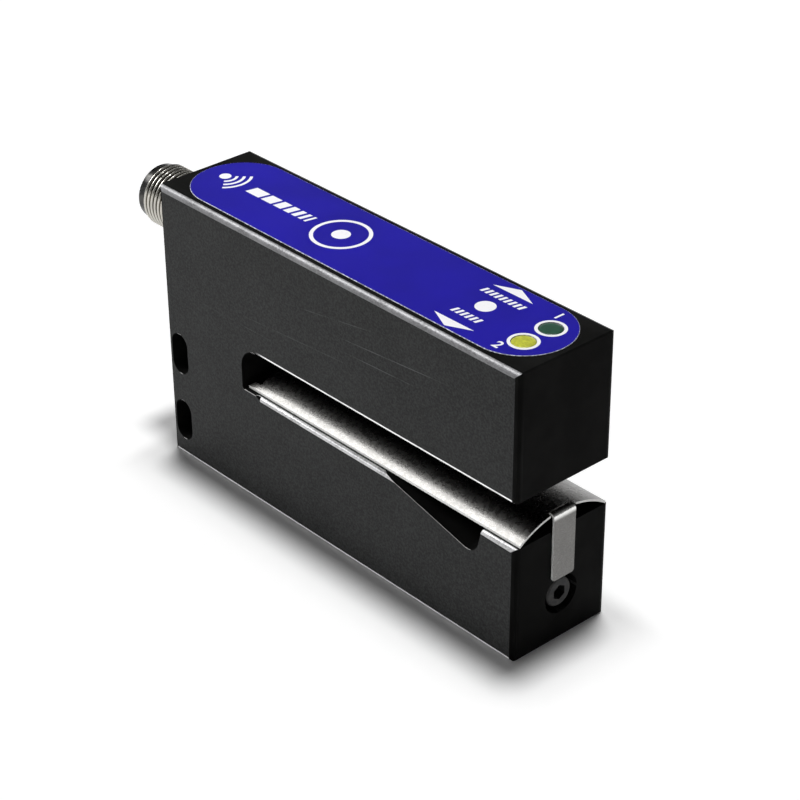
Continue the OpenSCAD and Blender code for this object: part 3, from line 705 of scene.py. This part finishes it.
def flat_shape(corners, rise):
    """A thin plate with the given corners, in metres, standing rise above z = 0."""
    shape = bmesh.new()
    face = shape.faces.new([shape.verts.new((x, y, 0)) for x, y in corners])
    lifted = bmesh.ops.extrude_face_region(shape, geom=[face])["geom"]
    verts = [item for item in lifted if isinstance(item, bmesh.types.BMVert)]
    bmesh.ops.translate(shape, verts=verts, vec=(0, 0, rise))
    bmesh.ops.recalc_face_normals(shape, faces=shape.faces)
    return shape


def disc_shape(radius, rise, crown=0.0):
    """A thin disc on z = 0, rise high and rounded at its rim, with crown more in the middle of its top."""
    top = [(rise, 0), (rise, 0.35 * radius), (rise, 0.7 * radius), (rise, 0.9 * radius)]
    rim = [(0.85 * rise, 0.985 * radius), (0.5 * rise, radius), (0, radius)]
    shape = bmesh.new()
    line = draw_line(shape, [(r, 0, height + crown * (1 - (r / radius) ** 2)) for height, r in top + rim])
    wind(shape, line, (0, 0, 1), 64)
    bmesh.ops.holes_fill(shape, edges=shape.edges, sides=0)
    bmesh.ops.recalc_face_normals(shape, faces=shape.faces)
    return shape


def ring_shape(outer, stroke, rise):
    """A flat ring on z = 0."""
    inner = outer - stroke
    shape = bmesh.new()
    line = draw_line(shape, [(inner, 0, 0), (inner, 0, rise), (outer, 0, rise), (outer, 0, 0)], closed=True)
    wind(shape, line, (0, 0, 1), 96)
    bmesh.ops.recalc_face_normals(shape, faces=shape.faces)
    return shape


def join_at(target, shape, place):
    """Moves a small shape to its place and adds it to the target shape."""
    bmesh.ops.transform(shape, matrix=Matrix.Translation(place), verts=shape.verts)
    scrap = to_mesh(shape, "scrap")
    target.from_mesh(scrap)
    bpy.data.meshes.remove(scrap)


def digit_shape(digit, height, rise):
    """A plain number as a thin plate on z = 0, centred, in a slightly bold stroke."""
    cap_height = 0.7
    curve = bpy.data.curves.new("digit", "FONT")
    curve.body = digit
    curve.size = height / cap_height
    curve.align_x = "CENTER"
    curve.align_y = "CENTER"
    curve.extrude = rise / 2
    curve.offset = height * 0.035
    carrier = bpy.data.objects.new("digit", curve)
    bpy.context.scene.collection.objects.link(carrier)
    bpy.context.view_layer.update()
    mesh = bpy.data.meshes.new_from_object(carrier.evaluated_get(bpy.context.evaluated_depsgraph_get()))
    shape = bmesh.new()
    shape.from_mesh(mesh)
    bmesh.ops.translate(shape, verts=shape.verts, vec=(0, 0, rise / 2))
    bpy.data.objects.remove(carrier)
    bpy.data.curves.remove(curve)
    bpy.data.meshes.remove(mesh)
    return shape


# Operators


class SENSOR_OT_body(bpy.types.Operator):
    """Gives the fork body its anodised finish and smooth roundings"""

    bl_idname = "sensor.body"
    bl_label = "Fork body"

    def execute(self, context):
        finish = context.scene.sensor_finish
        shape = cad_shape("fork_body", flatten=True)
        self.break_edges(shape)
        for face in shape.faces:
            face.material_index = self.finish_of(face)
        materials = [anodised_paint(finish), shaded_anodised_paint(finish), edge_paint(finish), chamfer_highlight_paint(finish)]
        mesh = to_mesh(shape, "body_shell")
        piece = new_piece("body_shell", mesh, materials, smooth_angle=31)
        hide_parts("fork_body")
        return {"FINISHED"}

    def break_edges(self, shape):
        """A fine bevel on every edge of about a right angle in the two long sides."""
        least_turn, most_turn = 1.3, 1.8
        edges = []
        for edge in shape.edges:
            on_side = all(abs(abs(v.co.y) - BODY_HIGH.y) < 1e-6 for v in edge.verts)
            if on_side and len(edge.link_faces) == 2 and least_turn < edge.calc_face_angle(0) < most_turn:
                edges.append(edge)
        bevel(shape, edges, 0.07, clamp=False)

    def finish_of(self, face):
        """Which of the body's materials a face gets, by its place and the way it points."""
        anodised, painted_shade_black, wear_and_highlight, painted_highlight = range(4)
        chamfer, rounding = 0.3 * MM, 1.3 * MM
        normal, centre = face.normal, face.calc_center_median()
        if abs(normal.y) > 0.995:
            return anodised
        # Long edges of the sides, not the walls of the holes and recesses
        if abs(normal.x) < 0.1 and centre.y * normal.y >= 0:
            reach = abs(centre.y)
            # Downward chamfers along the long edges get the near-white painted highlight
            if -0.9 < normal.z < -0.2 and centre.z > MM and reach > BODY_HIGH.y - chamfer:
                return painted_highlight
            # Roundings of the long edges get the pale colour, part wear and part painted highlight
            on_edge = abs(normal.y) > 0.05 and reach > BODY_HIGH.y - rounding
            if on_edge and (normal.z < 0.97 or centre.z < IN_SLOT_Z * MM):
                return wear_and_highlight
        # Everything else gets the darker copy of the anodising, painted shade
        return painted_shade_black


class SENSOR_OT_guide_plate(bpy.types.Operator):
    """Rounds the sheet's cut edges and gives it its satin finish"""

    bl_idname = "sensor.guide_plate"
    bl_label = "Guide plate"

    def execute(self, context):
        finish = context.scene.sensor_finish
        beside_tab = 2.6 * MM
        shape = cad_shape("guide_plate", flatten=True)
        soften_edges(shape, 0.05, angle=50)
        for face in shape.faces:
            normal, centre = face.normal, face.calc_center_median()
            front_edge = normal.x > 0.9 and abs(centre.y) > beside_tab
            # The sheared edges get the near-white painted highlight
            face.material_index = 1 if abs(normal.y) > 0.6 or front_edge else 0
        mesh = to_mesh(shape, "arched_sheet")
        materials = [stainless_paint(finish), sheared_edge_highlight_paint(finish)]
        piece = new_piece("arched_sheet", mesh, materials, smooth_angle=40)
        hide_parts("guide_plate")
        return {"FINISHED"}


class SENSOR_OT_screw(bpy.types.Operator):
    """Rounds the socket screw's head and blackens it"""

    bl_idname = "sensor.screw"
    bl_label = "Channel screw"

    def execute(self, context):
        head_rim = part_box("channel_screw")[1].x - 0.1 * MM
        shape = cad_shape("channel_screw", flatten=True)
        soften_edges(shape, 0.22, segments=3, choose=lambda edge: all(v.co.x > head_rim for v in edge.verts))
        mesh = to_mesh(shape, "socket_screw")
        piece = new_piece("socket_screw", mesh, [dark_steel_paint()], smooth_angle=40)
        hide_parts("channel_screw")
        return {"FINISHED"}


class SENSOR_OT_label(bpy.types.Operator):
    """Lays the blue foil with its pale cut edge, and sets the two windows in it"""

    bl_idname = "sensor.label"
    bl_label = "Label foil and windows"

    def execute(self, context):
        finish = context.scene.sensor_finish
        shape = cad_shape("label_foil", flatten=True)
        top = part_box("label_foil")[1].z
        soften_edges(shape, 0.07, choose=lambda edge: all(v.co.z > top - 1e-6 for v in edge.verts))
        mesh = to_mesh(shape, "foil")
        materials = [foil_paint(finish), foil_edge_paint(finish)]
        piece = new_piece("foil", mesh, materials, smooth_angle=50)
        for face in mesh.polygons:
            face.material_index = 0 if face.normal.z > 0.95 else 1
        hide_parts("label_foil")
        radius = context.scene.sensor_print.window_diameter / 2
        sunk, crown = 0.02 * MM, 0.05 * MM
        for node, name, colour in (
            ("green_lens", "green_window", finish.green),
            ("yellow_lens", "yellow_window", finish.yellow),
        ):
            low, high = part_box(node)
            window = disc_shape(radius, high.z - low.z - sunk, crown)
            place = ((low.x + high.x) / 2, (low.y + high.y) / 2, low.z)
            bmesh.ops.translate(window, verts=window.verts, vec=place)
            mesh = to_mesh(window, name)
            pane = new_piece(name + "_pane", mesh, [window_paint(name, colour)], smooth_angle=60)
            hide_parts(node)
        return {"FINISHED"}


class SENSOR_OT_print(bpy.types.Operator):
    """Prints the white marks: sound source, bars, key ring, sensing point, scales, lamp rings and numbers"""

    bl_idname = "sensor.print"
    bl_label = "White print"

    def execute(self, context):
        settings = context.scene.sensor_print
        rise = settings.ink_rise
        sunk, gap = 0.001 * MM, 0.02 * MM
        digit_height, digit_back, digit_aside = 2.0 * MM, 2.0 * MM, 3.75 * MM
        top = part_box("label_foil")[1].z - sunk
        key = (settings.ring_x, settings.ring_y, top)
        ink = bmesh.new()
        join_at(ink, ring_shape(settings.ring_diameter / 2, settings.ring_stroke, rise), key)
        join_at(ink, disc_shape(settings.key_dot / 2, rise), key)
        join_at(ink, disc_shape(settings.point_diameter / 2, rise), (settings.point_x, settings.point_y, top))
        for side in (1, -1):
            self.arrow(ink, settings, side, top)
        for ticks, place_y in ((9, 4.4), (6, -3.75)):
            self.scale(ink, settings, ticks, Vector((settings.point_x - 0.1 * MM, place_y * MM, top)))
        self.waves(ink, settings, Vector((settings.source_x, 0.0, top)))
        for digit, node, away in (("1", "green_lens", 1), ("2", "yellow_lens", -1)):
            low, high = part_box(node)
            x, y, _ = (low + high) / 2
            stroke = (settings.lamp_ring - settings.window_diameter) / 2 - gap
            join_at(ink, ring_shape(settings.lamp_ring / 2, stroke, rise), (x, y, top))
            place = (x - digit_back, y + away * digit_aside, top)
            join_at(ink, digit_shape(digit, digit_height, rise), place)
        materials = [ink_paint(context.scene.sensor_finish)]
        new_piece("white_print", to_mesh(ink, "white_print"), materials, smooth_angle=40)
        return {"FINISHED"}

    def arrow(self, ink, settings, side, top):
        """A solid arrow that points to one long side, printed a hair out of true."""
        slip = 0.04 * MM
        half = settings.arrow_base / 2
        corners = [(-half, 0), (half * 1.01, 2 * slip), (slip, side * settings.arrow_height)]
        place = (settings.point_x + slip, side * settings.arrow_y, top)
        join_at(ink, flat_shape(corners, settings.ink_rise), place)

    def scale(self, ink, settings, ticks, middle):
        """A plain scale of leaning ticks."""
        height, half = settings.tick_height, settings.tick_width / 2
        lean = 0.25 * height
        corners = [(-half, 0), (half, 0), (lean + half, height), (lean - half, height)]
        for index in range(ticks):
            along = (index - (ticks - 1) / 2) * settings.tick_pitch
            place = (middle.x + along, middle.y - height / 2, middle.z)
            join_at(ink, flat_shape(corners, settings.ink_rise), place)

    def waves(self, ink, settings, source):
        """A sound source with three waves, then a row of leaning bars that get shorter, in millimetres."""
        join_at(ink, disc_shape(1.1 * MM, settings.ink_rise), source)
        for radius in (2.4, 3.7, 5.0):
            arc = ring_shape(radius * MM, 0.55 * MM, settings.ink_rise)
            for normal in ((1, 1, 0), (1, -1, 0)):
                cut_away(arc, (0, 0, 0), normal)
            bmesh.ops.holes_fill(arc, edges=arc.edges, sides=0)
            join_at(ink, arc, source)
        left, gap, lean, half = 7.2, 0.7, 0.5, 1.2
        for length in (3.6, 2.7, 2.0, 1.5, 1.1, 0.8, 0.55):
            right = left + length
            corners = ((left, -half), (right, -half), (right + lean, half), (left + lean, half))
            join_at(ink, flat_shape([(x * MM, y * MM) for x, y in corners], settings.ink_rise), source)
            left = right + gap


class SENSOR_OT_connector(bpy.types.Operator):
    """Turns the connector's shell, cuts its thread, and finishes the insert and pins"""

    bl_idname = "sensor.connector"
    bl_label = "Screw connector"

    def execute(self, context):
        settings = context.scene.sensor_thread
        low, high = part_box("connector_shell")
        axis_z = (low.z + high.z) / 2
        open_end = low.x / MM
        thread_start = open_end + settings.first_crest / MM
        thread_end = thread_start + settings.length / MM
        shell = turned_shape(self.profile(open_end, thread_start, settings.root / 2 / MM, high.x / MM))
        join_at(shell, self.thread(settings, thread_start), (0, 0, 0))
        bmesh.ops.translate(shell, verts=shell.verts, vec=(0, 0, axis_z))
        for face in shell.faces:
            on_rim = face.calc_center_median().x < (thread_start - 0.01) * MM
            face.material_index = 1 if on_rim else 0
        nickel = nickel_paint(context.scene.sensor_finish, axis_z / MM, thread_start, thread_end)
        mesh = to_mesh(shell, "threaded_shell")
        piece = new_piece("threaded_shell", mesh, [nickel, rim_paint()], smooth_angle=32)
        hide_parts("connector_shell")
        insert = cad_shape("connector_insert", flatten=True)
        soften_edges(insert, 0.08, angle=50)
        dark = moulded_paint("insert_plastic", (0.018, 0.018, 0.019), 0.42)
        mesh = to_mesh(insert, "pin_carrier")
        piece = new_piece("pin_carrier", mesh, [dark], smooth_angle=40)
        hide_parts("connector_insert")
        gold = metal_paint("gold_contact", (0.78, 0.56, 0.22), 0.2)
        mesh = to_mesh(cad_shape("contact_pins"), "round_pins")
        pins = new_piece("round_pins", mesh, [gold])
        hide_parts("contact_pins")
        return {"FINISHED"}

    def profile(self, open_end, thread_start, root, inner_end):
        """The shell's section as (along, radius) in millimetres: rim, thread core, shoulder, neck, socket."""
        rear = BODY_LOW.x / MM
        rim = [(0.12, 4.32), (0, 4.45), (0, 5.2), (0.06, 5.32), (0.18, 5.375)]
        core = [(thread_start, 5.375), (thread_start, root), (rear - 1.9, root)]
        shoulder = [(-1.9, 5.2), (-1.5, 5.2), (-1.5, 6.7), (-1.42, 6.88), (-1.25, 6.98), (-0.05, 7)]
        neck = [(rear, 6.95), (rear, 5.0), (inner_end - 0.2, 5.0), (inner_end, 4.8), (inner_end, 3.5)]
        socket = [(rear - 1.0, 3.5), (rear - 1.0, 4.3), (open_end + 0.12, 4.3)]
        rim = [(open_end + along, radius) for along, radius in rim]
        shoulder = [(rear + along, radius) for along, radius in shoulder]
        return rim + core + shoulder + neck + socket

    def thread(self, settings, start_mm):
        """A screw thread about the X axis: one ridge wound along it, cut square and run out at both ends."""
        pitch, steps = settings.pitch, settings.turn_steps
        crest, root = settings.crest / 2, settings.root / 2
        rounding = crest - 0.02 * MM
        start = start_mm * MM
        end = start + settings.length
        turns = int(settings.length / pitch) + 2
        flank = [(-0.5, root), (-0.44, root), (-0.1, rounding), (-0.06, crest)]
        ridge = flank + [(-place, radius) for place, radius in reversed(flank)]
        shape = bmesh.new()
        line = draw_line(shape, [(start + (place - 0.5) * pitch, 0, radius) for place, radius in ridge])
        wind(shape, line, (1, 0, 0), steps, turns, pitch, merge=2e-7)
        for place, normal in ((start, (1, 0, 0)), (end, (-1, 0, 0))):
            cut_away(shape, (place, 0, 0), normal)
        lead_in, sunk = 0.45 * MM, root - 0.01 * MM
        for vert in shape.verts:
            radius = math.hypot(vert.co.y, vert.co.z)
            room = min(vert.co.x - start, end - vert.co.x) / lead_in
            allowed = sunk + max(0.0, min(1.0, room)) * (crest - sunk)
            if radius > allowed:
                vert.co.y *= allowed / radius
                vert.co.z *= allowed / radius
        bmesh.ops.recalc_face_normals(shape, faces=shape.faces)
        return shape


class SENSOR_OT_inside(bpy.types.Operator):
    """Finishes the pieces inside the body: boards, chips, transducers, cable and seal"""

    bl_idname = "sensor.inside"
    bl_label = "Pieces inside"

    def execute(self, context):
        board = board_paint()
        chip = moulded_paint("chip_plastic", (0.02, 0.02, 0.021))
        rubber = moulded_paint("soft_rubber", (0.03, 0.03, 0.031), 0.62)
        can = metal_paint("transducer_can", (0.6, 0.6, 0.58))
        gold = metal_paint("link_contact", (0.78, 0.56, 0.22), 0.2)
        finishes = {
            "top_board": (board, "circuit_board"),
            "main_board": (board, "circuit_board"),
            "connector_board": (board, "circuit_board"),
            "processor": (chip, "chip_plastic"),
            "amplifier": (chip, "chip_plastic"),
            "board_header": (chip, "chip_plastic"),
            "drive_coil": (moulded_paint("coil_ferrite", (0.06, 0.055, 0.05), 0.45), "coil_ferrite"),
            "key_spacer": (moulded_paint("white_plastic", (0.78, 0.78, 0.76)), "white_plastic"),
            "key_dome": (metal_paint("spring_steel", (0.6, 0.6, 0.6), 0.22), "spring_steel"),
            "green_led": (window_paint("lamp_green", (0.5, 0.8, 0.6)), "lamp_green"),
            "yellow_led": (window_paint("lamp_yellow", (0.85, 0.75, 0.35)), "lamp_yellow"),
            "receiver": (can, "transducer_can"),
            "transmitter": (can, "transducer_can"),
            "receiver_sleeve": (rubber, "soft_rubber"),
            "transmitter_sleeve": (rubber, "soft_rubber"),
            "shell_seal": (rubber, "soft_rubber"),
            "transmitter_cable": (moulded_paint("cable_jacket", (0.06, 0.06, 0.065), 0.55), "cable_jacket"),
            "link_pins": (gold, "gold_contact"),
        }
        for node, (material, slot) in finishes.items():
            piece = new_piece(node + "_finished", to_mesh(cad_shape(node), node), [material])
            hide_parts(node)
        return {"FINISHED"}


class SENSOR_OT_studio(bpy.types.Operator):
    """Sets the floor, the soft lights and the camera"""

    bl_idname = "sensor.studio"
    bl_label = "Studio"

    def execute(self, context):
        settings = context.scene.sensor_studio
        mesh = to_mesh(self.sweep_shape(), "floor")
        mesh.materials.append(paper_paint(settings.floor_lift))
        floor = bpy.data.objects.new("floor", mesh)
        context.scene.collection.objects.link(floor)
        sky = bpy.data.lights.new("top_light", "SUN")
        sky.energy = settings.top_strength
        sky.angle = settings.top_spread
        above = Vector((-0.075, 0.1, 1.0))
        self.place_lamp(sky, above, (-above).to_track_quat("-Z", "Y").to_matrix())
        self.softbox("key_light", settings.key_power, (0.5, 0.4), (-0.45, -0.37, 0.40), (0, 0.7, 0.72))
        self.softbox("strip_light", settings.strip_power, (0.5, 0.26), (-0.45, -0.259, 0.493), (0, 0.92, 0.4))
        self.stand_camera(context.scene, settings)
        self.surroundings(context.scene, settings)
        context.scene.view_settings.view_transform = "Standard"
        return {"FINISHED"}

    def stand_camera(self, scene, settings):
        """Stands the camera where the photograph was taken from."""
        camera = bpy.data.cameras.new("camera")
        camera.lens = settings.lens
        camera.sensor_width = 36
        camera.clip_start = 0.01
        camera.clip_end = 30
        viewer = bpy.data.objects.new("camera", camera)
        viewer.location = settings.camera_place
        viewer.rotation_euler = settings.camera_turn
        scene.collection.objects.link(viewer)
        scene.camera = viewer

    def floor_left_out(self):
        """A collection for light linking that keeps a softbox off the floor, which then shows only the soft
        shadow from above."""
        collection = bpy.data.collections.new("floor_left_out")
        collection.objects.link(bpy.data.objects["floor"])
        collection.collection_objects[0].light_linking.link_state = "EXCLUDE"
        return collection

    def sweep_shape(self):
        """A wide flat floor that curves up into a low wall all round."""
        flat, curve, top = 2.7, 0.4, 0.72
        turns = [math.radians(angle) for angle in range(0, 91, 10)]
        bend = [(flat + curve * math.sin(turn), curve * (1 - math.cos(turn))) for turn in turns]
        profile = [(0, 0), (0.5 * flat, 0)] + bend + [(flat + curve, top)]
        shape = bmesh.new()
        line = draw_line(shape, [(reach, 0, height) for reach, height in profile])
        wind(shape, line, (0, 0, 1), 96, merge=1e-6)
        bmesh.ops.recalc_face_normals(shape, faces=shape.faces)
        if sum(face.normal.z for face in shape.faces) < 0:
            bmesh.ops.reverse_faces(shape, faces=shape.faces)
        for face in shape.faces:
            face.smooth = True
        return shape

    def softbox(self, name, power, size, place, up):
        """A rectangle of light with its long side along X; up is the way its short side points."""
        light = bpy.data.lights.new(name, "AREA")
        light.shape = "RECTANGLE"
        light.size, light.size_y = size
        light.energy = power
        along, across = Vector((1, 0, 0)), Vector(up).normalized()
        lamp = self.place_lamp(light, place, Matrix((along, across, along.cross(across))).transposed())
        lamp.light_linking.receiver_collection = self.floor_left_out()

    def place_lamp(self, light, place, turn):
        """Stands a light at its place, turned by a 3 by 3 matrix."""
        lamp = bpy.data.objects.new(light.name, light)
        lamp.matrix_world = Matrix.Translation(place) @ turn.to_4x4()
        bpy.context.scene.collection.objects.link(lamp)
        return lamp

    def surroundings(self, scene, settings):
        """A plain light world that fills the shade."""
        world = bpy.data.worlds.new("studio_world")
        world.use_nodes = True
        background = world.node_tree.nodes["Background"]
        background.inputs["Color"].default_value = (1, 1, 1, 1)
        background.inputs["Strength"].default_value = settings.fill_strength
        scene.world = world


OPERATORS = (
    SENSOR_OT_body,
    SENSOR_OT_guide_plate,
    SENSOR_OT_screw,
    SENSOR_OT_label,
    SENSOR_OT_print,
    SENSOR_OT_connector,
    SENSOR_OT_inside,
    SENSOR_OT_studio,
)


class SENSOR_PT_panel(bpy.types.Panel):
    """The sensor's steps in the 3D view's sidebar"""

    bl_label = "Fork sensor"
    bl_idname = "SENSOR_PT_panel"
    bl_space_type = "VIEW_3D"
    bl_region_type = "UI"
    bl_category = "Sensor"

    def draw(self, context):
        """Lists the steps, then each group of settings."""
        scene = context.scene
        for operator in OPERATORS:
            self.layout.operator(operator.bl_idname)
        for settings in (scene.sensor_finish, scene.sensor_print, scene.sensor_thread, scene.sensor_studio):
            box = self.layout.box()
            for name in settings.__annotations__:
                box.prop(settings, name)


CLASSES = (FinishSettings, PrintSettings, ThreadSettings, StudioSettings, *OPERATORS, SENSOR_PT_panel)


def register():
    """Registers the classes and adds the settings to the scene."""
    for cls in CLASSES:
        bpy.utils.register_class(cls)
    bpy.types.Scene.sensor_finish = PointerProperty(type=FinishSettings)
    bpy.types.Scene.sensor_print = PointerProperty(type=PrintSettings)
    bpy.types.Scene.sensor_thread = PointerProperty(type=ThreadSettings)
    bpy.types.Scene.sensor_studio = PointerProperty(type=StudioSettings)


def unregister():
    """Takes the settings and the classes away again."""
    for name in ("sensor_finish", "sensor_print", "sensor_thread", "sensor_studio"):
        delattr(bpy.types.Scene, name)
    for cls in reversed(CLASSES):
        bpy.utils.unregister_class(cls)


def main():
    """Dresses the frame step by step."""
    register()
    for operator in OPERATORS:
        group, step = operator.bl_idname.split(".")
        getattr(getattr(bpy.ops, group), step)()


if __name__ == "__main__":
    main()
